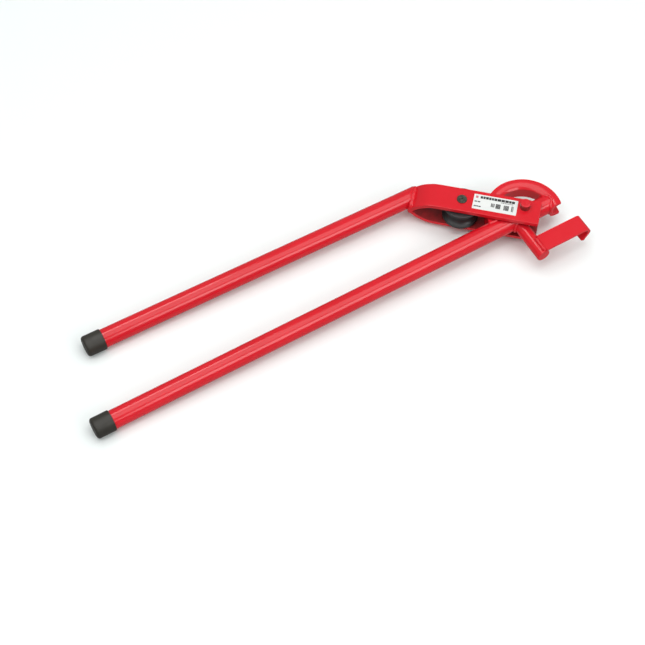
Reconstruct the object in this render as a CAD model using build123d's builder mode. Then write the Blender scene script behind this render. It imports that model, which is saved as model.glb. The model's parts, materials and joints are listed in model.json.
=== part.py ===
"""Two-handled scissor pipe bender for 15 mm tube, modelled as separate parts.

Frame: the origin is on the pivot axis, at the lower end of the pivot bolt.
X runs along the fixed handle from the grip towards the head, Y points to the
side of the moving handle, Z is the pivot axis. The handles are nearly closed.
Heights below are measured from the tool's mid-plane, MID_Z above the origin.
"""
import os
from math import acos, cos, radians, sin, sqrt

from build123d import *

os.makedirs("parts", exist_ok=True)

# ---------------------------------------------------------------- dimensions
# handles
TUBE_R = 11.0            # outside radius of both handle tubes
TUBE_WALL = 2.5
CAP_R = 12.2             # outside radius of the plastic end caps
CAP_LENGTH = 22.5
CAP_END = 4.0            # thickness of the closed end
FIXED_GRIP_X = -556.5    # closed end of the fixed handle's cap
MOVING_GRIP_X = -520.5   # closed end of the moving handle's cap
MOVING_OFFSET = 86.8     # moving tube's axis: its Y where it passes X = 0
MOVING_ANGLE = -1.15     # and its direction, in degrees from X

# former: a half ring of U channel the tube is bent round
PIPE_R = 7.5             # radius of the 15 mm tube this bender is for
GROOVE_R = PIPE_R + 0.2
CHANNEL_WALL = 3.2
BEND_R = 43.0            # radius of the bent tube's centreline
LIP_R = 45.0             # radius of the channel's open lips
BACK_R = 41.0            # where the rounding of the channel's back is centred
INNER_R = 32.7           # radius of the flat inner wall
FORMER_NOSE_Y = -12.0    # the ring is sawn off here, parallel to the handle
FORMER_END = 172.0       # degrees, end of the ring beside the fixed handle
NOSE_R = 35.5            # radius at which the handle tube ends on the former

# fork: two bent cheek plates that carry the moving handle
FORK_ANGLE = -42.5       # direction of the fork, from X
CHEEK_T = 5.0
CHEEK_W = 32.0
CHEEK_GAP = 26.2         # clear height between the plates
CHEEK_SHIFT = -5.0       # the plates' centreline lies this far off the pivot
CHEEK_NOSE = 18.5        # square end beyond the pivot
CHEEK_CORNER = 2.0
CHEEK_EDGE = 0.8         # rounding of the outer edges
CHEEK_BEND = -100.0      # where the plates start to close on each other
CHEEK_BEND_R = 37.0      # inside radius of that bend
CHEEK_TAIL = -134.0      # where the fork butts against the moving tube
TAIL_GAP = 3.4           # clear height between the plates' ends
WELD_T = 4.6             # weld that closes the tube's mouth round the plates

# pivot
BOLT_R = 4.0
BOLT_HEAD_R = 6.1
BOLT_HEAD_H = 8.2
BUSH_R = 7.0
BUSH_HALF = 11.4
THRUST_R = 9.5
THRUST_T = 1.3
NUT_FLATS = 13.0
NUT_H = 6.8
WASHER_T = 1.6

# roller
ROLLER_S = -73.3         # distance of its axis from the pivot along the fork
ROLLER_R = 21.5
ROLLER_HALF = 11.3
ROLLER_GROOVE_R = 8.4
ROLLER_WAIST_R = 15.0
PIN_R = 5.0
PIN_HEAD_R = 5.9
PIN_HEAD_H = 1.6
PIN_TAIL = 4.0
ROLLER_BUSH_R = 7.0
RUN = 0.05               # radial running clearance

# hook that holds the tube against the former
ARM_R = 8.0
ARM_X = -11.0            # the arm ends flush with the strap's outer edge
STRAP_T = 3.0
STRAP_W = 22.0
STRAP_Y = -47.4          # centre of the strap's width
STRAP_START_X = -8.0
HOOK_X = 45.7            # centre of the strap's bend
HOOK_R = 6.5             # bend radius at mid thickness
HOOK_TURN = 122.0        # degrees
HOOK_LIP = 12.2

# rating label stuck on the upper cheek
LABEL_L = 51.5
LABEL_W = 21.0
LABEL_T = 0.2
LABEL_S = -34.5
LABEL_SHIFT = -4.3

CHEEK_IN = CHEEK_GAP / 2
CHEEK_OUT = CHEEK_IN + CHEEK_T
STRAP_TOP = 10.6
ARM_END_Y = STRAP_Y - STRAP_W / 2
CHANNEL_R = GROOVE_R + CHANNEL_WALL
NUT_TOP = -CHEEK_OUT - WASHER_T
BOLT_TAIL = NUT_TOP - NUT_H - 1.8
CLIP_TOP = -CHEEK_OUT - 0.3
MID_Z = -BOLT_TAIL

# frame that follows the fork: its X along the plates, its Y across them
fork = Plane(origin=(0, 0, MID_Z),
             x_dir=(cos(radians(FORK_ANGLE)), sin(radians(FORK_ANGLE)), 0), z_dir=(0, 0, 1))
roller_axis = fork.from_local_coords((ROLLER_S, CHEEK_SHIFT, 0))
along_moving = Vector(cos(radians(MOVING_ANGLE)), sin(radians(MOVING_ANGLE)), 0)


def moving_point(x):
    """Point of the moving tube's axis at the given X."""
    return Vector(x, MOVING_OFFSET + x * along_moving.Y / along_moving.X, MID_Z)


def section(origin, direction):
    """Plane square to a tube, with its own Y pointing up the pivot axis."""
    across = Vector(0, 0, 1).cross(direction)
    return Plane(origin=origin, x_dir=across, z_dir=direction)


def fork_level(z, s=0.0, t=0.0):
    """Plane parallel to the cheeks at height z, centred on fork position s, t."""
    return Plane(origin=fork.from_local_coords((s, t, z)), x_dir=fork.x_dir, z_dir=(0, 0, 1))


def at_pivot(z):
    return Plane.XY.offset(MID_Z + z)


def at_roller(z):
    return fork_level(z, ROLLER_S, CHEEK_SHIFT)


def ring(plane, outer, inner, height):
    """Plain flat ring standing on a plane, for washers and bushes."""
    with BuildPart() as piece:
        with BuildSketch(plane):
            Circle(outer)
            Circle(inner, mode=Mode.SUBTRACT)
        extrude(amount=height)
    return piece.part


def end_cap(tip, direction):
    """Plastic cup pushed over the end of a handle tube; tip is its closed end."""
    with BuildPart() as piece:
        with BuildSketch(section(tip, direction)):
            Circle(CAP_R)
        extrude(amount=CAP_LENGTH)
        outer_end = piece.edges().filter_by(GeomType.CIRCLE).sort_by_distance(tip)[0]
        fillet(outer_end, radius=3.0)
        with BuildSketch(section(tip + direction * CAP_END, direction)):
            Circle(TUBE_R)
        extrude(amount=CAP_LENGTH, mode=Mode.SUBTRACT)
        mouth = piece.edges().filter_by(GeomType.CIRCLE).filter_by(
            lambda e: abs((e.arc_center - tip).length - CAP_LENGTH) < 0.01)
        chamfer(mouth.sort_by(SortBy.RADIUS)[-1], length=0.5)
    return piece.part


def radial(angle):
    """Plane that holds the pivot axis, its X pointing out at an angle in degrees."""
    a = radians(angle)
    return Plane(origin=(0, 0, MID_Z), x_dir=(cos(a), sin(a), 0), z_dir=(sin(a), -cos(a), 0))


def channel_outline():
    """Outside of the channel: rounded back with a flat inner wall, in R and Z."""
    flat = sqrt(CHANNEL_R ** 2 - (BACK_R - INNER_R) ** 2)
    a = radians(65)
    mid_r, mid_z = BACK_R - CHANNEL_R * cos(a), CHANNEL_R * sin(a)
    with BuildLine() as outline:
        Line((LIP_R, CHANNEL_R), (BACK_R, CHANNEL_R))
        ThreePointArc((BACK_R, CHANNEL_R), (mid_r, mid_z), (INNER_R, flat))
        Line((INNER_R, flat), (INNER_R, -flat))
        ThreePointArc((INNER_R, -flat), (mid_r, -mid_z), (BACK_R, -CHANNEL_R))
        Line((BACK_R, -CHANNEL_R), (LIP_R, -CHANNEL_R))
        Line((LIP_R, -CHANNEL_R), (LIP_R, CHANNEL_R))
    return outline.line


# -------------------------------------------------------------- fixed handle
fixed_end = Vector(FIXED_GRIP_X, 0, MID_Z)
tube_start_x = FIXED_GRIP_X + CAP_END
x_axis = Vector(1, 0, 0)

with BuildPart() as fixed_handle_tube:
    with BuildSketch(section(Vector(tube_start_x, 0, MID_Z), x_axis)):
        Circle(TUBE_R)
        Circle(TUBE_R - TUBE_WALL, mode=Mode.SUBTRACT)
    extrude(amount=LIP_R - tube_start_x)
    # the nose is coped to sit against the back of the former
    with BuildSketch(radial(-45)):
        make_face(channel_outline())
    revolve(axis=Axis.Z, revolution_arc=90, mode=Mode.SUBTRACT)
    # cross hole for the pivot bush
    with Locations(at_pivot(0)):
        Cylinder(radius=BUSH_R, height=4 * TUBE_R, mode=Mode.SUBTRACT)
    # and does not reach out over its top and bottom
    with BuildSketch(radial(-45)):
        with Locations((NOSE_R + 20, 0)):
            Rectangle(40, 4 * TUBE_R)
    revolve(axis=Axis.Z, revolution_arc=90, mode=Mode.SUBTRACT)

fixed_handle_tube.part.label = "fixed_handle_tube"
export_step(fixed_handle_tube.part, "parts/fixed_handle_tube.step")

with BuildPart() as fixed_handle_cap:
    add(end_cap(fixed_end, x_axis))

fixed_handle_cap.part.label = "fixed_handle_cap"
export_step(fixed_handle_cap.part, "parts/fixed_handle_cap.step")

# -------------------------------------------------------------------- former
with BuildPart() as former_channel:
    with BuildSketch(radial(-30)):
        make_face(channel_outline())
        with BuildLine():
            Line((LIP_R + 5, GROOVE_R), (BEND_R, GROOVE_R))
            ThreePointArc((BEND_R, GROOVE_R), (BEND_R - GROOVE_R, 0), (BEND_R, -GROOVE_R))
            Line((BEND_R, -GROOVE_R), (LIP_R + 5, -GROOVE_R))
            Line((LIP_R + 5, -GROOVE_R), (LIP_R + 5, GROOVE_R))
        make_face(mode=Mode.SUBTRACT)
    revolve(axis=Axis.Z, revolution_arc=FORMER_END + 30)
    # the nose end is sawn off parallel to the handle
    with BuildSketch(Plane(origin=(LIP_R / 2, FORMER_NOSE_Y, MID_Z),
                           x_dir=(1, 0, 0), z_dir=(0, -1, 0))):
        Rectangle(2 * LIP_R, 2 * LIP_R)
    extrude(amount=LIP_R, mode=Mode.SUBTRACT)
    # the end beside the handle is coped onto the tube
    with BuildSketch(section(Vector(-2 * LIP_R, 0, MID_Z), x_axis)):
        Circle(TUBE_R)
    extrude(amount=2 * LIP_R, mode=Mode.SUBTRACT)

former_channel.part.label = "former_channel"
export_step(former_channel.part, "parts/former_channel.step")

# --------------------------------------------------------------- pivot, bush
with BuildPart() as pivot_bush:
    with BuildSketch(at_pivot(-BUSH_HALF)):
        Circle(BUSH_R)
        Circle(BOLT_R + RUN, mode=Mode.SUBTRACT)
    extrude(amount=2 * BUSH_HALF)

pivot_bush.part.label = "pivot_bush"
export_step(pivot_bush.part, "parts/pivot_bush.step")

# ---------------------------------------------------------------------- hook
with BuildPart() as hook_arm:
    with BuildSketch(Plane(origin=(ARM_X, 0, MID_Z), x_dir=(1, 0, 0), z_dir=(0, -1, 0))):
        Circle(ARM_R)
    extrude(amount=-ARM_END_Y)
    fillet(hook_arm.faces().sort_by(Axis.Y)[0].edges(), radius=1.2)
    # the root is coped onto the side of the handle tube
    with BuildSketch(section(Vector(ARM_X - 30, 0, MID_Z), x_axis)):
        Circle(TUBE_R)
    extrude(amount=60, mode=Mode.SUBTRACT)

hook_arm.part.label = "hook_arm"
export_step(hook_arm.part, "parts/hook_arm.step")

strap_mid_z = STRAP_TOP - STRAP_T / 2
bend_centre = (HOOK_X, strap_mid_z - HOOK_R)
turn = radians(HOOK_TURN)
bend_end = (bend_centre[0] + HOOK_R * sin(turn), bend_centre[1] + HOOK_R * cos(turn))
bend_mid = (bend_centre[0] + HOOK_R * sin(turn / 2), bend_centre[1] + HOOK_R * cos(turn / 2))
lip_end = (bend_end[0] + HOOK_LIP * cos(turn), bend_end[1] - HOOK_LIP * sin(turn))

with BuildPart() as hook_strap:
    # side view of the strap, its width extruded towards the end of the arm
    inner_edge = (0, STRAP_Y + STRAP_W / 2, MID_Z)
    with BuildSketch(Plane(origin=inner_edge, x_dir=(1, 0, 0), z_dir=(0, -1, 0))):
        with BuildLine() as middle:
            Line((STRAP_START_X, strap_mid_z), (HOOK_X, strap_mid_z))
            ThreePointArc((HOOK_X, strap_mid_z), bend_mid, bend_end)
            Line(bend_end, lip_end)
        trace(middle.line, line_width=STRAP_T)
    extrude(amount=STRAP_W)
    # corners of the lip
    lip_tip = (lip_end[0], STRAP_Y, MID_Z + lip_end[1])
    lip_face = hook_strap.faces().sort_by_distance(lip_tip)[0]
    fillet(lip_face.edges().filter_by(lambda e: e.length < STRAP_T + 0.1), radius=2.0)

hook_strap.part.label = "hook_strap"
export_step(hook_strap.part, "parts/hook_strap.step")

# ------------------------------------------------------------- moving handle
moving_tip = moving_point(MOVING_GRIP_X)

with BuildPart() as moving_handle_tube:
    with BuildSketch(section(moving_tip + along_moving * CAP_END, along_moving)):
        Circle(TUBE_R)
        Circle(TUBE_R - TUBE_WALL, mode=Mode.SUBTRACT)
    extrude(amount=-MOVING_GRIP_X)
    # mitred square to the fork so that the cheek plates butt against it
    with BuildSketch(Plane(origin=fork.from_local_coords((CHEEK_TAIL, 0, 0)),
                           x_dir=(0, 0, 1), z_dir=fork.x_dir)):
        Rectangle(100, 400)
    extrude(amount=400, mode=Mode.SUBTRACT)

moving_handle_tube.part.label = "moving_handle_tube"
export_step(moving_handle_tube.part, "parts/moving_handle_tube.step")

with BuildPart() as moving_handle_cap:
    add(end_cap(moving_tip, along_moving))

moving_handle_cap.part.label = "moving_handle_cap"
export_step(moving_handle_cap.part, "parts/moving_handle_cap.step")


def bend_point(radius, share):
    """Point of the plates' bend, S and Z; share runs from 0 to 1 along it."""
    centre_z = CHEEK_IN - CHEEK_BEND_R
    a = acos((TAIL_GAP / 2 - centre_z) / CHEEK_BEND_R) * share
    return (CHEEK_BEND - radius * sin(a), centre_z + radius * cos(a))


def cheek(side):
    """One cheek plate; side is +1 for the upper plate and -1 for the lower."""
    inner = [bend_point(CHEEK_BEND_R, share) for share in (0, 0.5, 1)]
    outer = [bend_point(CHEEK_BEND_R + CHEEK_T, share) for share in (0, 0.5, 1)]
    inner = [(s, side * z) for s, z in inner]
    outer = [(s, side * z) for s, z in outer]
    nose_in = (CHEEK_NOSE, side * CHEEK_IN)
    nose_out = (CHEEK_NOSE, side * CHEEK_OUT)
    # plane that holds the fork axis and the pivot axis, facing the near edge
    across = fork.y_dir * -1
    near = fork.from_local_coords((0, CHEEK_SHIFT - CHEEK_W / 2, 0))
    with BuildPart() as piece:
        with BuildSketch(Plane(origin=near, x_dir=fork.x_dir, z_dir=across)):
            with BuildLine():
                Line(nose_in, inner[0])
                ThreePointArc(*inner)
                Line(inner[2], outer[2])
                ThreePointArc(*reversed(outer))
                Line(outer[0], nose_out)
                Line(nose_out, nose_in)
            make_face()
        extrude(amount=-CHEEK_W)
        upright = piece.edges().filter_by(Axis.Z)
        fillet(upright, radius=CHEEK_CORNER)
        with Locations(at_pivot(0)):
            Cylinder(radius=BOLT_R, height=100, mode=Mode.SUBTRACT)
        with Locations(at_roller(0)):
            Cylinder(radius=PIN_R, height=100, mode=Mode.SUBTRACT)
        # the sheared outer edges are rounded over
        flats = piece.faces().filter_by(Axis.Z).sort_by(Axis.Z)
        outside = flats[-1] if side > 0 else flats[0]
        rim = outside.edges().filter_by(
            lambda e: abs(fork.to_local_coords(e.center()).Y - CHEEK_SHIFT) > CHEEK_W / 2 - 1.5)
        fillet(rim.filter_by(GeomType.LINE), radius=CHEEK_EDGE)
    return piece.part


with BuildPart() as cheek_upper:
    add(cheek(1))

cheek_upper.part.label = "cheek_upper"
export_step(cheek_upper.part, "parts/cheek_upper.step")

with BuildPart() as cheek_lower:
    add(cheek(-1))

cheek_lower.part.label = "cheek_lower"
export_step(cheek_lower.part, "parts/cheek_lower.step")

# the mitred tube meets the fork's end plane in an ellipse, closed by the weld
mitre = radians(MOVING_ANGLE - FORK_ANGLE)
tube_at_tail = fork.to_local_coords(moving_point(0)).X - CHEEK_TAIL
tube_centre = fork.to_local_coords(moving_point(-tube_at_tail / cos(mitre) * along_moving.X))

weld_plane = Plane(origin=fork.from_local_coords((CHEEK_TAIL, tube_centre.Y, 0)),
                   x_dir=fork.y_dir, z_dir=fork.x_dir)

with BuildPart() as fork_weld:
    with BuildSketch(weld_plane):
        Ellipse(TUBE_R / cos(mitre), TUBE_R)
    with BuildSketch(weld_plane.offset(WELD_T)):
        Ellipse(TUBE_R / cos(mitre) - 1.6, TUBE_R - 2.4)
    loft()
    add(cheek_upper.part, mode=Mode.SUBTRACT)
    add(cheek_lower.part, mode=Mode.SUBTRACT)
    # root of the weld just inside the tube's mouth
    with BuildSketch(weld_plane):
        Ellipse(9.0, TUBE_R - TUBE_WALL - 0.3)
    extrude(amount=-2)

fork_weld.part.label = "fork_weld"
export_step(fork_weld.part, "parts/fork_weld.step")

# ---------------------------------------------------------- pivot bolt stack
with BuildPart() as pivot_bolt:
    with BuildSketch(at_pivot(CHEEK_OUT)):
        Circle(BOLT_HEAD_R)
    extrude(amount=BOLT_HEAD_H)
    fillet(pivot_bolt.faces().sort_by(Axis.Z)[-1].edges(), radius=1.2)
    with BuildSketch(at_pivot(BOLT_TAIL)):
        Circle(BOLT_R)
    extrude(amount=CHEEK_OUT - BOLT_TAIL)
    chamfer(pivot_bolt.faces().sort_by(Axis.Z)[0].edges(), length=0.6)

pivot_bolt.part.label = "pivot_bolt"
export_step(pivot_bolt.part, "parts/pivot_bolt.step")

with BuildPart() as pivot_nut:
    with BuildSketch(at_pivot(NUT_TOP)):
        RegularPolygon(radius=NUT_FLATS / 2, side_count=6, major_radius=False)
        Circle(BOLT_R, mode=Mode.SUBTRACT)
    extrude(amount=-NUT_H)
    # both hex ends are turned down by a 30 degree cone
    with BuildSketch(radial(0)):
        corner = NUT_FLATS / 2 / cos(radians(30))
        low = NUT_TOP - NUT_H
        with BuildLine():
            Polyline((BOLT_R, low), (corner - 0.9, low), (corner + 0.1, low + 0.6),
                     (corner + 0.1, NUT_TOP - 0.6), (corner - 0.9, NUT_TOP),
                     (BOLT_R, NUT_TOP), close=True)
        make_face()
    revolve(axis=Axis.Z, revolution_arc=360, mode=Mode.INTERSECT)

pivot_nut.part.label = "pivot_nut"
export_step(pivot_nut.part, "parts/pivot_nut.step")

with BuildPart() as pivot_washer:
    add(ring(at_pivot(NUT_TOP), 8.5, BOLT_R, WASHER_T))

pivot_washer.part.label = "pivot_washer"
export_step(pivot_washer.part, "parts/pivot_washer.step")

with BuildPart() as thrust_washer_upper:
    add(ring(at_pivot(CHEEK_IN - THRUST_T), THRUST_R, BOLT_R, THRUST_T))

thrust_washer_upper.part.label = "thrust_washer_upper"
export_step(thrust_washer_upper.part, "parts/thrust_washer_upper.step")

with BuildPart() as thrust_washer_lower:
    add(ring(at_pivot(-CHEEK_IN), THRUST_R, BOLT_R, THRUST_T))

thrust_washer_lower.part.label = "thrust_washer_lower"
export_step(thrust_washer_lower.part, "parts/thrust_washer_lower.step")

# ---------------------------------------------------------- roller, its pin
with BuildPart() as roller_pin:
    with BuildSketch(at_roller(-CHEEK_OUT - PIN_TAIL)):
        Circle(PIN_R)
    extrude(amount=2 * CHEEK_OUT + PIN_TAIL)
    with BuildSketch(at_roller(CHEEK_OUT)):
        Circle(PIN_HEAD_R)
    extrude(amount=PIN_HEAD_H)
    chamfer(roller_pin.faces().sort_by(Axis.Z)[-1].edges(), length=0.5)
    # lathe centre in the head, groove for the retaining ring in the tail
    with Locations(at_roller(CHEEK_OUT + PIN_HEAD_H)):
        Cone(bottom_radius=0.2, top_radius=1.5, height=2.4, mode=Mode.SUBTRACT)
    with BuildSketch(at_roller(CLIP_TOP)):
        Circle(PIN_R + 1)
        Circle(PIN_R - 0.5, mode=Mode.SUBTRACT)
    extrude(amount=-1.2, mode=Mode.SUBTRACT)
    chamfer(roller_pin.faces().sort_by(Axis.Z)[0].edges(), length=0.6)

roller_pin.part.label = "roller_pin"
export_step(roller_pin.part, "parts/roller_pin.step")

with BuildPart() as roller_pin_clip:
    with BuildSketch(at_roller(CLIP_TOP - 0.05)):
        Circle(PIN_R + 2.2)
        Circle(PIN_R - 0.45, mode=Mode.SUBTRACT)
        with Locations((PIN_R + 1, 0)):
            Rectangle(5.5, 3.0, mode=Mode.SUBTRACT)
    extrude(amount=-1.1)

roller_pin_clip.part.label = "roller_pin_clip"
export_step(roller_pin_clip.part, "parts/roller_pin_clip.step")

with BuildPart() as roller_washer_upper:
    add(ring(at_roller(CHEEK_IN - THRUST_T), THRUST_R, PIN_R, THRUST_T))

roller_washer_upper.part.label = "roller_washer_upper"
export_step(roller_washer_upper.part, "parts/roller_washer_upper.step")

with BuildPart() as roller_washer_lower:
    add(ring(at_roller(-CHEEK_IN), THRUST_R, PIN_R, THRUST_T))

roller_washer_lower.part.label = "roller_washer_lower"
export_step(roller_washer_lower.part, "parts/roller_washer_lower.step")

with BuildPart() as roller:
    with BuildSketch(at_roller(-ROLLER_HALF)):
        Circle(ROLLER_R)
        Circle(ROLLER_BUSH_R, mode=Mode.SUBTRACT)
    extrude(amount=2 * ROLLER_HALF)
    rims = roller.edges().filter_by(GeomType.CIRCLE).filter_by(
        lambda e: abs(e.radius - ROLLER_R) < 0.01)
    fillet(rims, radius=0.8)
    # round groove for the guide shoe
    with BuildSketch(Plane(origin=roller_axis, x_dir=fork.x_dir, z_dir=fork.y_dir)):
        with Locations((ROLLER_WAIST_R + ROLLER_GROOVE_R, 0)):
            Circle(ROLLER_GROOVE_R)
    revolve(axis=Axis(roller_axis, (0, 0, 1)), revolution_arc=360, mode=Mode.SUBTRACT)

roller.part.label = "roller"
export_step(roller.part, "parts/roller.step")

with BuildPart() as roller_bush:
    add(ring(at_roller(-ROLLER_HALF), ROLLER_BUSH_R, PIN_R + RUN, 2 * ROLLER_HALF))

roller_bush.part.label = "roller_bush"
export_step(roller_bush.part, "parts/roller_bush.step")

# --------------------------------------------------------------------- label
with BuildPart() as rating_label:
    with BuildSketch(fork_level(CHEEK_OUT, LABEL_S, LABEL_SHIFT)):
        RectangleRounded(LABEL_L, LABEL_W, 0.8)
    extrude(amount=LABEL_T)

rating_label.part.label = "rating_label"
export_step(rating_label.part, "parts/rating_label.step")
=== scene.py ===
"""Looks of the two-handled tube bender: materials, welds, label print, floor, light, camera.

Lengths are in metres; MM turns millimetres into metres. s and t run along and across the fork's
plates from the pivot, and z is the height above the tool's mid-plane.
"""
import json
import math
import random

import bmesh
import bpy
from mathutils import Matrix, Vector, noise


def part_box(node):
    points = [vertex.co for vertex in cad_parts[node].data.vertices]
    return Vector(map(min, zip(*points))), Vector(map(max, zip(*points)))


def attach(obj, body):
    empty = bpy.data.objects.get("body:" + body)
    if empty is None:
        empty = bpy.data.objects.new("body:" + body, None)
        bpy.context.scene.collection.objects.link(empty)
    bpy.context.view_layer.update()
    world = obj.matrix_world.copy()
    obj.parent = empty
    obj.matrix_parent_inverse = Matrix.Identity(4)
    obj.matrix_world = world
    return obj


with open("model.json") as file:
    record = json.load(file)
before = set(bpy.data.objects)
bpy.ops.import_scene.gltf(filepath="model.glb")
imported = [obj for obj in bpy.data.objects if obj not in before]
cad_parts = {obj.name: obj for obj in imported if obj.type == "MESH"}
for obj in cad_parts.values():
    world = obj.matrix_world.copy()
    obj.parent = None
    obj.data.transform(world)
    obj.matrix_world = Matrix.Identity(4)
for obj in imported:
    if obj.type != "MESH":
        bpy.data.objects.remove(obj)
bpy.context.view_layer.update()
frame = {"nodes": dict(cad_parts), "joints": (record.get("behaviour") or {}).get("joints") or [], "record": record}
nodes = frame["nodes"]
joints = {j["name"]: j for j in frame["joints"]}

MM = 0.001
PIVOT = Vector(joints["pivot"]["pos_m"])
MID_Z = PIVOT.z

# ------------------------------------------------------------------ node kit


def new_material(name):
    """New material; returns it with its node tree and its Principled shader."""
    material = bpy.data.materials.new(name)
    material.use_nodes = True
    tree = material.node_tree
    shader = tree.nodes["Principled BSDF"]
    return material, tree, shader


def add_node(tree, kind, **settings):
    """New node; a setting is an input socket's value, or else a property."""
    node = tree.nodes.new(kind)
    for key, value in settings.items():
        if key in node.inputs:
            node.inputs[key].default_value = value
        else:
            setattr(node, key, value)
    return node


def coordinates(tree):
    return add_node(tree, "ShaderNodeTexCoord").outputs["Object"]


def noise_texture(tree, scale, detail=3.0, roughness=0.5, source=None):
    node = add_node(tree, "ShaderNodeTexNoise", Scale=scale, Detail=detail, Roughness=roughness)
    tree.links.new(source or coordinates(tree), node.inputs["Vector"])
    return node.outputs["Fac"]


def ramp(tree, value, stops):
    """Colour ramp; stops are (position, colour or grey)."""
    node = add_node(tree, "ShaderNodeValToRGB")
    elements = node.color_ramp.elements
    while len(elements) < len(stops):
        elements.new(0.5)
    for element, (position, colour) in zip(elements, stops):
        element.position = position
        if not isinstance(colour, tuple):
            colour = (colour, colour, colour)
        element.color = (*colour, 1.0)
    tree.links.new(value, node.inputs["Fac"])
    return node.outputs["Color"]


def bump(tree, shader, layers):
    """Chains bump nodes; layers are (height output, strength, distance in metres)."""
    normal = None
    for height, strength, distance in layers:
        node = add_node(tree, "ShaderNodeBump", Strength=strength, Distance=distance)
        tree.links.new(height, node.inputs["Height"])
        if normal is not None:
            tree.links.new(normal, node.inputs["Normal"])
        normal = node.outputs["Normal"]
    tree.links.new(normal, shader.inputs["Normal"])


def mixed(tree, factor, first, second):
    """Two colours mixed by a factor."""
    node = add_node(tree, "ShaderNodeMix", data_type="RGBA")
    sockets = {socket.name: socket for socket in node.inputs if socket.enabled}
    tree.links.new(factor, sockets["Factor"])
    tree.links.new(first, sockets["A"])
    tree.links.new(second, sockets["B"])
    return next(socket for socket in node.outputs if socket.enabled)


FACING_START = 0.2        # height of the surface normal where a facing mask begins
FACING_FULL = 0.6         # and where it is full


def facing(tree, up):
    """1 on faces that look up (or down, with up = -1), 0 on upright ones."""
    split = add_node(tree, "ShaderNodeSeparateXYZ")
    tree.links.new(add_node(tree, "ShaderNodeNewGeometry").outputs["Normal"], split.inputs[0])
    level = add_node(tree, "ShaderNodeMapRange")
    level.inputs["From Min"].default_value = up * FACING_START
    level.inputs["From Max"].default_value = up * FACING_FULL
    tree.links.new(split.outputs["Z"], level.inputs["Value"])
    return level.outputs["Result"]


ENAMEL = [(0.3, (0.60, 0.0075, 0.016)), (0.7, (0.65, 0.0105, 0.021))]
BOLT_TOP = [(0.3, (0.58, 0.0075, 0.016)), (0.7, (0.64, 0.0105, 0.021))]
# painted shade: dark red-brown for the bolt head's upright side
BOLT_PAINTED_SHADE_SIDE = [(0.3, (0.16, 0.016, 0.015)), (0.7, (0.28, 0.020, 0.020))]


def red_paint(name, painted_shade_facing=None, painted_shade_level=1.0):
    """Glossy red enamel with a slight orange peel.

    painted_shade_facing picks the faces that get painted shade, a dull dark red standing in for shade: those
    looking up (1) or down (-1).
    """
    material, tree, shader = new_material(name)
    broad = noise_texture(tree, 18.0, 3.0)
    base = ramp(tree, broad, ENAMEL)
    rough = ramp(tree, noise_texture(tree, 60.0, 4.0), [(0.3, 0.12), (0.75, 0.18)])
    # painted shade: the picked faces get a dull, dark, patchy red that stands in for the shade falling there
    if painted_shade_facing:
        inside = facing(tree, painted_shade_facing)
        patchy = noise_texture(tree, 140.0, 5.0)
        painted_shade_colour = ramp(tree, patchy, [(0.3, (0.13 * painted_shade_level, 0.010, 0.011)),
                                   (0.7, (0.24 * painted_shade_level, 0.012, 0.016))])
        base = mixed(tree, inside, base, painted_shade_colour)
        rough = mixed(tree, inside, rough, ramp(tree, patchy, [(0.3, 0.50), (0.7, 0.60)]))
    tree.links.new(base, shader.inputs["Base Color"])
    tree.links.new(rough, shader.inputs["Roughness"])
    peel = noise_texture(tree, 420.0, 2.0)
    fine = noise_texture(tree, 900.0, 2.0)
    bump(tree, shader, [(peel, 0.12, 0.00012), (fine, 0.06, 0.00004)])
    return material


def bolt_paint():
    """Enamel brushed on the bolt's top; its turned side gets painted shade, a dark red-brown standing in for
    shade.
    """
    material, tree, shader = new_material("bolt_paint")
    top = facing(tree, 1)
    # painted shade on the upright side, the full red on the top
    side = ramp(tree, noise_texture(tree, 300.0, 4.0), BOLT_PAINTED_SHADE_SIDE)
    full = ramp(tree, noise_texture(tree, 60.0, 3.0), BOLT_TOP)
    tree.links.new(mixed(tree, top, side, full), shader.inputs["Base Color"])
    rough = ramp(tree, noise_texture(tree, 220.0, 4.0), [(0.3, 0.16), (0.7, 0.30)])
    tree.links.new(rough, shader.inputs["Roughness"])
    bump(tree, shader, [(noise_texture(tree, 700.0, 3.0), 0.2, 0.00008)])
    return material


def black_plastic():
    material, tree, shader = new_material("black_plastic")
    base = ramp(tree, noise_texture(tree, 40.0), [(0.3, (0.019, 0.017, 0.012)), (0.7, (0.030, 0.027, 0.020))])
    tree.links.new(base, shader.inputs["Base Color"])
    rough = ramp(tree, noise_texture(tree, 150.0), [(0.3, 0.42), (0.7, 0.55)])
    tree.links.new(rough, shader.inputs["Roughness"])
    bump(tree, shader, [(noise_texture(tree, 1400.0, 2.0), 0.3, 0.00008)])
    return material


def metal(name, dark, light, rough_low, rough_high, grain=600.0, spots=120.0):
    material, tree, shader = new_material(name)
    shader.inputs["Metallic"].default_value = 1.0
    base = ramp(tree, noise_texture(tree, spots, 5.0), [(0.3, dark), (0.7, light)])
    tree.links.new(base, shader.inputs["Base Color"])
    rough = ramp(tree, noise_texture(tree, 260.0, 4.0), [(0.3, rough_low), (0.7, rough_high)])
    tree.links.new(rough, shader.inputs["Roughness"])
    bump(tree, shader, [(noise_texture(tree, grain, 3.0), 0.15, 0.00005)])
    return material


def black_roller():
    material, tree, shader = new_material("black_roller")
    base = ramp(tree, noise_texture(tree, 90.0), [(0.3, (0.015, 0.015, 0.016)), (0.7, (0.03, 0.03, 0.031))])
    tree.links.new(base, shader.inputs["Base Color"])
    rough = ramp(tree, noise_texture(tree, 200.0), [(0.3, 0.3), (0.7, 0.42)])
    tree.links.new(rough, shader.inputs["Roughness"])
    bump(tree, shader, [(noise_texture(tree, 800.0, 2.0), 0.2, 0.00006)])
    return material


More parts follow.
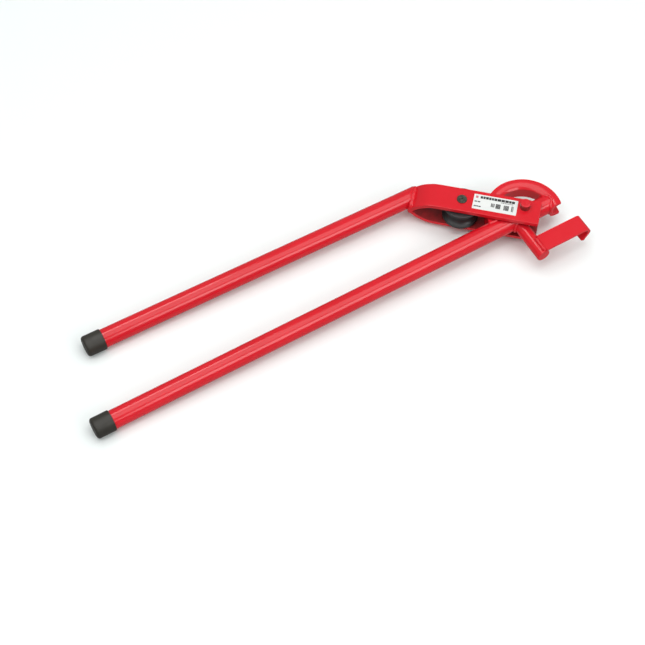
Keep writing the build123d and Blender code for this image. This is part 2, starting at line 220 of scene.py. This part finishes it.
def label_film():
    material, tree, shader = new_material("label_film")
    base = ramp(tree, noise_texture(tree, 60.0), [(0.3, (0.70, 0.72, 0.70)), (0.7, (0.74, 0.76, 0.74))])
    tree.links.new(base, shader.inputs["Base Color"])
    shader.inputs["Roughness"].default_value = 0.35
    return material


def ink(name, dark, light):
    material, tree, shader = new_material(name)
    base = ramp(tree, noise_texture(tree, 1500.0, 3.0), [(0.35, dark), (0.65, light)])
    tree.links.new(base, shader.inputs["Base Color"])
    shader.inputs["Roughness"].default_value = 0.45
    return material


RED = red_paint("red_paint")
RED_BOLT = bolt_paint()
# the cheeks' faces between the plates get painted shade, a dark red standing in for the shade there
RED_PAINTED_SHADE_OVER_INSIDE = red_paint("red_paint_painted_shade_below", painted_shade_facing=-1)
RED_PAINTED_SHADE_UNDER_INSIDE = red_paint("red_paint_painted_shade_above", painted_shade_facing=1, painted_shade_level=1.5)
BLACK = black_plastic()
ROLLER_BLACK = black_roller()
DARK_STEEL = metal("dark_steel", (0.045, 0.048, 0.038), (0.13, 0.135, 0.11), 0.35, 0.5, spots=420.0)
ZINC = metal("zinc", (0.55, 0.55, 0.52), (0.68, 0.68, 0.65), 0.25, 0.4)
BRONZE = metal("bronze", (0.40, 0.24, 0.10), (0.55, 0.34, 0.15), 0.25, 0.4)
FILM = label_film()
INK = ink("ink_black", (0.012, 0.011, 0.011), (0.03, 0.028, 0.028))
INK_GREY = ink("ink_grey", (0.04, 0.036, 0.034), (0.10, 0.09, 0.085))
INK_RED = ink("ink_red", (0.50, 0.10, 0.12), (0.60, 0.18, 0.20))

FINISH = {"red_paint": RED, "black_plastic": BLACK, "black_roller": ROLLER_BLACK,
          "dark_steel": DARK_STEEL, "plated_steel": ZINC, "bronze": BRONZE, "white_label": FILM}
for part in frame["record"]["subparts"]:
    node = nodes[part["node"]]
    node.data.materials.clear()
    node.data.materials.append(FINISH[part["material_slot"]])
nodes["cheek_upper"].data.materials[0] = RED_PAINTED_SHADE_OVER_INSIDE
nodes["cheek_lower"].data.materials[0] = RED_PAINTED_SHADE_UNDER_INSIDE
nodes["pivot_bolt"].data.materials[0] = RED_BOLT

# -------------------------------------------------------------------- shapes
TUBE_R = 11.0 * MM
CHANNEL_R = 10.9 * MM
CHANNEL_BACK_R = 41.0 * MM
CHANNEL_INNER_R = 32.7 * MM
ARM_X = -11.0 * MM
FORK_ANGLE = math.radians(-42.5)
ALONG_FORK = Vector((math.cos(FORK_ANGLE), math.sin(FORK_ANGLE), 0.0))
ACROSS_FORK = Vector((-math.sin(FORK_ANGLE), math.cos(FORK_ANGLE), 0.0))


def from_pivot(x, y, z):
    """Point at an offset from where the pivot axis crosses the tool's mid-plane."""
    return Vector((PIVOT.x + x, PIVOT.y + y, MID_Z + z))


def on_fork(s, t, z):
    """Point along and across the fork, and above the mid-plane."""
    return from_pivot(0.0, 0.0, z) + ALONG_FORK * s + ACROSS_FORK * t


def new_piece(name, shape, material, body, smooth=True):
    """Turns a bmesh into a visible piece that rides on a body."""
    bmesh.ops.recalc_face_normals(shape, faces=shape.faces)
    mesh = bpy.data.meshes.new(name)
    shape.to_mesh(mesh)
    shape.free()
    mesh.polygons.foreach_set("use_smooth", [smooth] * len(mesh.polygons))
    mesh.materials.append(material)
    piece = bpy.data.objects.new(name, mesh)
    bpy.context.scene.collection.objects.link(piece)
    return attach(piece, body)


def even_points(line, step, closed):
    """Points at an even spacing along a dense polyline, and its length."""
    if closed:
        line = line + [line[0]]
    reached = [0.0]
    for start, end in zip(line, line[1:]):
        reached.append(reached[-1] + (end - start).length)
    count = max(8, round(reached[-1] / step))
    points = []
    i = 0
    for k in range(count if closed else count + 1):
        target = reached[-1] * k / count
        while i < len(line) - 2 and reached[i + 1] < target:
            i += 1
        share = (target - reached[i]) / (reached[i + 1] - reached[i])
        points.append(line[i].lerp(line[i + 1], share))
    return points, reached[-1]


BEAD_STEP = 0.3 * MM
BEAD_SIDES = 16
RIPPLE_PITCH = 1.5 * MM
RIPPLE_DEPTH = 0.09       # share of the bead's radius
RIPPLE_MEAN = 0.6         # about the mean of a rectified sine, so the bead keeps its radius
LUMP_SIZE = 3.5 * MM


def weld_bead(name, body, line, core, radius, closed=False, lumps=0.16):
    """Weld bead along a line; its ripples are crescents round the side away from core(point)."""
    points, length = even_points(line, BEAD_STEP, closed)
    pitch = length / round(length / RIPPLE_PITCH)
    sides = BEAD_SIDES
    shape = bmesh.new()
    rings = []
    for k, point in enumerate(points):
        last = len(points) - 1
        ahead = points[(k + 1) % len(points)] if closed else points[min(k + 1, last)]
        behind = points[k - 1] if closed else points[max(k - 1, 0)]
        tangent = (ahead - behind).normalized()
        crown = point - core(point)
        crown = (crown - tangent * crown.dot(tangent)).normalized()
        side = tangent.cross(crown)
        along = length * k / len(points)
        size = radius * (1.0 + lumps * noise.noise(point / LUMP_SIZE))
        if not closed:
            from_end = min(k, last - k) * length / last
            size *= math.sqrt(max(0.02, 1.0 - max(0.0, 1.0 - from_end / radius) ** 2))
        ring = []
        for j in range(sides):
            angle = 2 * math.pi * j / sides
            crest = along + radius * (1.0 - math.cos(angle))
            ripple = 1.0 + RIPPLE_DEPTH * (abs(math.sin(math.pi * crest / pitch)) - RIPPLE_MEAN)
            arm = crown * math.cos(angle) + side * math.sin(angle)
            ring.append(shape.verts.new(point + arm * size * ripple))
        rings.append(ring)
    pairs = list(zip(rings, rings[1:]))
    if closed:
        pairs.append((rings[-1], rings[0]))
    for one, two in pairs:
        for j in range(sides):
            shape.faces.new((one[j], one[(j + 1) % sides], two[(j + 1) % sides], two[j]))
    if not closed:
        shape.faces.new(rings[0])
        shape.faces.new(rings[-1])
    return new_piece(name, shape, RED, body)


def turns(count):
    """Evenly spaced angles of one full turn."""
    return [2 * math.pi * k / count for k in range(count)]


# --------------------------------------------------------------------- welds
def squared(value):
    """Sine or cosine pushed outwards, so that an ellipse becomes a rounded rectangle."""
    return math.copysign(math.sqrt(abs(value)), value)


TAIL_S = -130.5 * MM      # joint between the moving tube's mouth and the plates' ends
TAIL_T = -4.6 * MM
TAIL_HALF_WIDTH = 13.1 * MM
TAIL_HALF_HEIGHT = 6.1 * MM
TAIL_BEAD_R = 3.5 * MM
tail_line = [on_fork(TAIL_S, TAIL_T + TAIL_HALF_WIDTH * squared(math.cos(a)),
                     TAIL_HALF_HEIGHT * squared(math.sin(a))) for a in turns(240)]
weld_bead("fork_tail_bead", "moving_handle", tail_line,
          lambda p: on_fork(TAIL_S, TAIL_T, 0.0), TAIL_BEAD_R, closed=True)


# the ring is sawn off 8 degrees short of half a turn; the bead's line lies just past that cut
HEEL_CUT = math.radians(7.2)


def back_radius(z):
    """Radius of the former's back at a height from the mid-plane."""
    level = min(abs(z), CHANNEL_R)
    return max(CHANNEL_INNER_R, CHANNEL_BACK_R - math.sqrt(CHANNEL_R ** 2 - level ** 2))


def heel_point(r, z):
    """Where the ring at r, z meets the handle tube, or its sawn end if the ring stops before that."""
    angle = math.asin(math.sqrt(TUBE_R ** 2 - z ** 2) / r)
    angle = math.pi - max(angle, HEEL_CUT)
    return from_pivot(r * math.cos(angle), r * math.sin(angle), z)


HEEL_Z = 9.7 * MM          # the bead runs between these heights, round the ring's back
HEEL_LIP_R = 46.0 * MM
HEEL_BEAD_R = 2.3 * MM
HEEL_STEPS = 40
heel_back = [HEEL_Z * (1 - k / HEEL_STEPS) for k in range(2 * HEEL_STEPS + 1)]
heel_line = [heel_point(HEEL_LIP_R, HEEL_Z)]
heel_line += [heel_point(back_radius(z), z) for z in heel_back]
heel_line += [heel_point(HEEL_LIP_R, -HEEL_Z)]
weld_bead("former_heel_bead", "fixed_handle", heel_line,
          lambda p: from_pivot(-40 * MM, 3 * MM, 0.0), HEEL_BEAD_R)

NOSE_TOP_R = 36.3 * MM    # the bead lies in the notch between the tube's end and the ring
NOSE_BEAD_R = 2.0 * MM
NOSE_SINK_SIDE = 0.3 * MM  # the bead's line runs this far inside the tube's sides
NOSE_SINK_TOP = 0.9 * MM   # and inside its top and underside
nose_line = []
for a in turns(200):
    y = (TUBE_R - NOSE_SINK_SIDE) * math.cos(a)
    z = (TUBE_R - NOSE_SINK_TOP) * math.sin(a)
    r = min(back_radius(z), NOSE_TOP_R)
    nose_line.append(from_pivot(math.sqrt(r ** 2 - y ** 2), y, z))
weld_bead("former_nose_bead", "fixed_handle", nose_line,
          lambda p: Vector((p.x + 4 * MM, 0.0, MID_Z)), NOSE_BEAD_R, closed=True)

ARM_RING_R = 8.6 * MM
ARM_BEAD_R = 1.8 * MM
ARM_BEAD_OUT = 0.6 * MM   # the bead's line runs this far outside the tube
arm_line = []
for a in turns(160):
    z = ARM_RING_R * math.sin(a)
    y = -math.sqrt(TUBE_R ** 2 - z ** 2) - ARM_BEAD_OUT
    arm_line.append(from_pivot(ARM_X + ARM_RING_R * math.cos(a), y, z))
weld_bead("hook_arm_bead", "fixed_handle", arm_line,
          lambda p: from_pivot(ARM_X, -7 * MM, 0.0), ARM_BEAD_R, closed=True)

strap_low, strap_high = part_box("hook_strap")
STRAP_BEAD_INSET = 0.6 * MM
STRAP_BEAD_OUT = 1.2 * MM  # past the strap's end
STRAP_BEAD_Z = 7.9 * MM
STRAP_BEAD_R = 2.4 * MM
UNDER_BEAD_IN = 3.6 * MM   # under the strap, from its end
UNDER_BEAD_Z = 6.4 * MM
UNDER_BEAD_R = 1.6 * MM
strap_edge = (strap_low.y + STRAP_BEAD_INSET, strap_high.y - STRAP_BEAD_INSET)


def straight(x, z):
    """Line across the strap's width."""
    return [Vector((x, strap_edge[0], MID_Z + z)), Vector((x, strap_edge[1], MID_Z + z))]


weld_bead("hook_strap_bead", "fixed_handle", straight(strap_low.x - STRAP_BEAD_OUT, STRAP_BEAD_Z),
          lambda p: Vector((p.x + 1 * MM, p.y, p.z - 5 * MM)), STRAP_BEAD_R, lumps=0.2)
weld_bead("hook_strap_bead_under", "fixed_handle", straight(strap_low.x + UNDER_BEAD_IN, UNDER_BEAD_Z),
          lambda p: Vector((p.x - 5 * MM, p.y, p.z + 2 * MM)), UNDER_BEAD_R, lumps=0.25)

# --------------------------------------------------------------- label print
LABEL_LENGTH = 51.5 * MM
LABEL_WIDTH = 21.0 * MM
INK_T = 0.03 * MM         # half the thickness of a printed block
label_low, label_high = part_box("rating_label")
label_centre = (label_low + label_high) / 2


def print_blocks(name, material, blocks):
    """Flat printed blocks; each is (from, to) along the label and (from, to) from its far edge."""
    shape = bmesh.new()
    for (u0, u1), (v0, v1) in blocks:
        corners = []
        for z in (label_high.z - INK_T, label_high.z + INK_T):
            for u, v in ((u0, v0), (u1, v0), (u1, v1), (u0, v1)):
                spot = (label_centre + ALONG_FORK * (u - 0.5) * LABEL_LENGTH
                        - ACROSS_FORK * (v - 0.5) * LABEL_WIDTH)
                corners.append(shape.verts.new((spot.x, spot.y, z)))
        low, top = corners[:4], corners[4:]
        shape.faces.new(top)
        shape.faces.new(low[::-1])
        for i in range(4):
            j = (i + 1) % 4
            shape.faces.new((low[i], low[j], top[j], top[i]))
    return new_piece(name, shape, material, "moving_handle", smooth=False)


def row_of_blocks(start, end, v_range, count, gap, dice):
    """Blocks of uneven width side by side."""
    widths = [dice.uniform(0.7, 1.3) for _ in range(count)]
    unit = (end - start - gap * (count - 1)) / sum(widths)
    blocks = []
    for width in widths:
        blocks.append(((start, start + width * unit), v_range))
        start += width * unit + gap
    return blocks


# places are shares of the label's length and width; the blocks spell and encode nothing
dice = random.Random(4)
heading = row_of_blocks(0.15, 0.93, (0.09, 0.255), 11, 0.009, dice)
codes = (row_of_blocks(0.41, 0.49, (0.46, 0.71), 3, 0.010, dice)
         + row_of_blocks(0.52, 0.625, (0.45, 0.76), 5, 0.003, dice)
         + row_of_blocks(0.70, 0.815, (0.46, 0.79), 5, 0.005, dice)
         + row_of_blocks(0.875, 0.92, (0.43, 0.80), 2, 0.010, dice))
small_lines = (row_of_blocks(0.03, 0.16, (0.45, 0.53), 2, 0.012, dice)
               + row_of_blocks(0.03, 0.19, (0.76, 0.84), 3, 0.008, dice)
               + row_of_blocks(0.62, 0.90, (0.30, 0.34), 6, 0.010, dice))
print_blocks("label_heading", INK, heading)
print_blocks("label_codes", INK, codes)
print_blocks("label_small_lines", INK_GREY, small_lines)
print_blocks("label_red_square", INK_RED, [((0.045, 0.10), (0.11, 0.26))])

# --------------------------------------------------------------------- floor
REST_INSET = 3 * MM       # the caps touch down this far from their closed ends
FLOOR_HALF = 6.0
FLOOR_GAP = 0.0002        # keeps the floor just under the tool

foot = Vector((0.0, 0.0, 0.0))
fixed_rest = Vector((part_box("fixed_handle_cap")[0][0] + REST_INSET, 0.0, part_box("fixed_handle_cap")[0][2]))
moving_low, moving_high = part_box("moving_handle_cap")
moving_rest = Vector((moving_low[0] + REST_INSET, (moving_low[1] + moving_high[1]) / 2, moving_low[2]))
floor_normal = (moving_rest - foot).cross(fixed_rest - foot).normalized()
if floor_normal.z < 0:
    floor_normal.negate()

floor_mesh = bpy.data.meshes.new("floor")
floor_shape = bmesh.new()
bmesh.ops.create_grid(floor_shape, x_segments=1, y_segments=1, size=FLOOR_HALF)
floor_shape.to_mesh(floor_mesh)
floor_shape.free()
floor = bpy.data.objects.new("floor", floor_mesh)
bpy.context.scene.collection.objects.link(floor)
floor.rotation_mode = "QUATERNION"
floor.rotation_quaternion = floor_normal.to_track_quat("Z", "Y")
floor.location = foot - floor_normal * FLOOR_GAP
floor_material, floor_tree, floor_shader = new_material("floor")
floor_shader.inputs["Base Color"].default_value = (0.86, 0.905, 0.895, 1.0)
floor_shader.inputs["Roughness"].default_value = 0.9
floor_shader.inputs["Specular IOR Level"].default_value = 0.1
floor_mesh.materials.append(floor_material)
floor.visible_glossy = False  # the paint reflects the sky and the lamps, not the floor

# --------------------------------------------------------------------- light
world = bpy.data.worlds.new("studio")
bpy.context.scene.world = world
world.use_nodes = True
sky_direction = add_node(world.node_tree, "ShaderNodeTexCoord").outputs["Generated"]
sky_split = add_node(world.node_tree, "ShaderNodeSeparateXYZ")
world.node_tree.links.new(sky_direction, sky_split.inputs[0])
sky_level = add_node(world.node_tree, "ShaderNodeMapRange")
sky_level.inputs["From Min"].default_value = -1.0
world.node_tree.links.new(sky_split.outputs["Z"], sky_level.inputs["Value"])
SKY_LEVELS = [(0.0, 0.32), (0.49, 0.38), (0.52, 0.28), (1.0, 0.42)]  # from straight down to up
sky_colour = ramp(world.node_tree, sky_level.outputs["Result"], SKY_LEVELS)
world.node_tree.links.new(sky_colour, world.node_tree.nodes["Background"].inputs["Color"])

LAMP_HEIGHT = 1.6


def overhead(name, x_range, y_range, radiance):
    """Flat lamp facing down over the given area, its brightness given as radiance."""
    data = bpy.data.lights.new(name, "AREA")
    data.shape = "RECTANGLE"
    data.size = x_range[1] - x_range[0]
    data.size_y = y_range[1] - y_range[0]
    data.energy = radiance * math.pi * data.size * data.size_y
    lamp = bpy.data.objects.new(name, data)
    bpy.context.scene.collection.objects.link(lamp)
    lamp.location = (sum(x_range) / 2, sum(y_range) / 2, LAMP_HEIGHT)
    lamp.visible_camera = False
    return lamp


# name, X range and Y range in metres, radiance
overhead("canopy", (-2.2, 1.4), (-0.80, 0.58), 1.55)
overhead("canopy_middle", (-1.2, 0.3), (-0.80, 0.58), 0.4)
overhead("strip", (-1.2, 0.3), (-0.25, -0.02), 4.6)
overhead("back_patch", (-0.6, 0.06), (0.66, 1.1), 4.8)
overhead("front_patch", (-0.2, 1.2), (-3.1, -1.2), 3.6)

# -------------------------------------------------------------------- camera
CAMERA_TARGET = Vector((-0.27586, -0.00781, MID_Z))
CAMERA_AZIMUTH = math.radians(-29.74)
CAMERA_ELEVATION = math.radians(59.01)
CAMERA_ROLL = math.radians(-0.36)
CAMERA_DISTANCE = 1.7319
CAMERA_LENS = 86.23

back = Vector((math.sin(CAMERA_AZIMUTH) * math.cos(CAMERA_ELEVATION),
               -math.cos(CAMERA_AZIMUTH) * math.cos(CAMERA_ELEVATION),
               math.sin(CAMERA_ELEVATION)))
right = Vector((math.cos(CAMERA_AZIMUTH), math.sin(CAMERA_AZIMUTH), 0.0))
up = back.cross(right)
rolled_right = right * math.cos(CAMERA_ROLL) + up * math.sin(CAMERA_ROLL)
rolled_up = up * math.cos(CAMERA_ROLL) - right * math.sin(CAMERA_ROLL)
camera_data = bpy.data.cameras.new("camera")
camera_data.lens = CAMERA_LENS
camera_data.sensor_width = 36.0
camera_data.clip_start, camera_data.clip_end = 0.05, 50.0
camera = bpy.data.objects.new("camera", camera_data)
bpy.context.scene.collection.objects.link(camera)
camera.matrix_world = Matrix.Translation(CAMERA_TARGET + back * CAMERA_DISTANCE) @ Matrix((
    (rolled_right.x, rolled_up.x, back.x, 0), (rolled_right.y, rolled_up.y, back.y, 0),
    (rolled_right.z, rolled_up.z, back.z, 0), (0, 0, 0, 1)))
bpy.context.scene.camera = camera
bpy.context.scene.view_settings.view_transform = "Standard"
